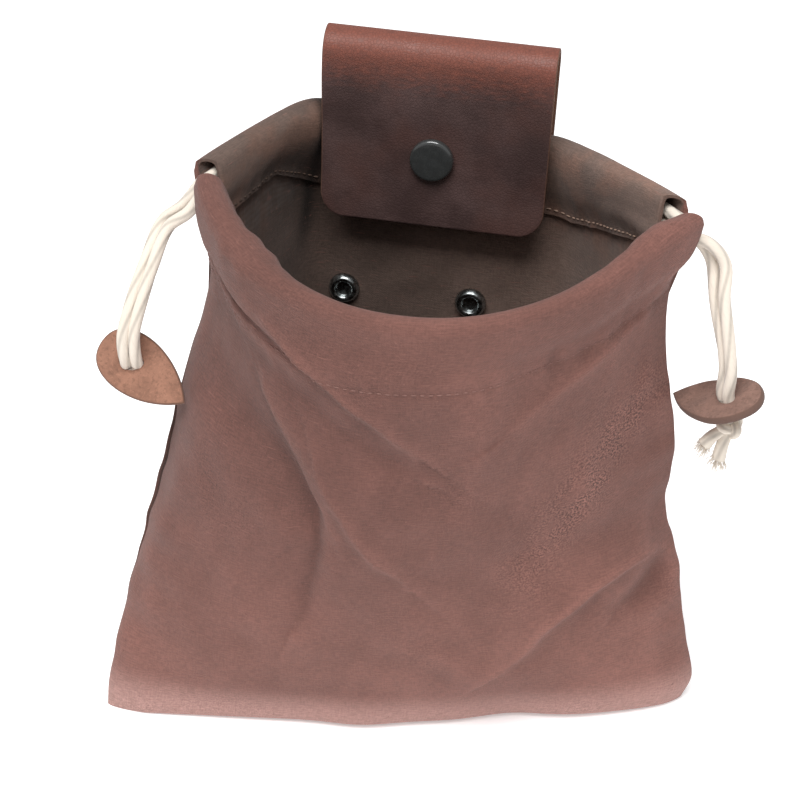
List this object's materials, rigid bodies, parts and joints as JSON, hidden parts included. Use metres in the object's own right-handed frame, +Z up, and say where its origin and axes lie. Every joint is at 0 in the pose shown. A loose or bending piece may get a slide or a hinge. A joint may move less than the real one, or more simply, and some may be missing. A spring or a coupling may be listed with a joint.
{
  "type": "tool belt bag",
  "caption": "Canvas drawstring pouch standing open, with hem casings, cord ends with leather toggles, and a snapped leather loop at the back that takes a belt.",
  "frame": {"origin": "on the floor, in the middle of the box around the bag and its belt loop", "axes": "+Z up, the front of the bag faces -Y, and a belt runs along X through the loop at the back"},
  "size_m": [0.2232, 0.1196, 0.2335],
  "materials": {
    "canvas": "waxed canvas, dusty red brown, matt",
    "leather": "smooth dark red brown leather, half gloss",
    "snap": "black enamelled metal",
    "cord": "soft off-white twisted cotton",
    "toggle": "raw tan leather, matt"
  },
  "bodies": {
    "root": {"front_panel": "canvas", "back_panel": "canvas", "belt_loop": "leather", "snap_cap": "snap", "snap_stud": "snap", "ring_snap_left": "snap", "ring_snap_right": "snap", "drawcord_left": "cord", "drawcord_right": "cord", "toggle_left": "toggle", "toggle_right": "toggle", "knot_left": "cord", "knot_right": "cord"}
  },
  "joints": []
}
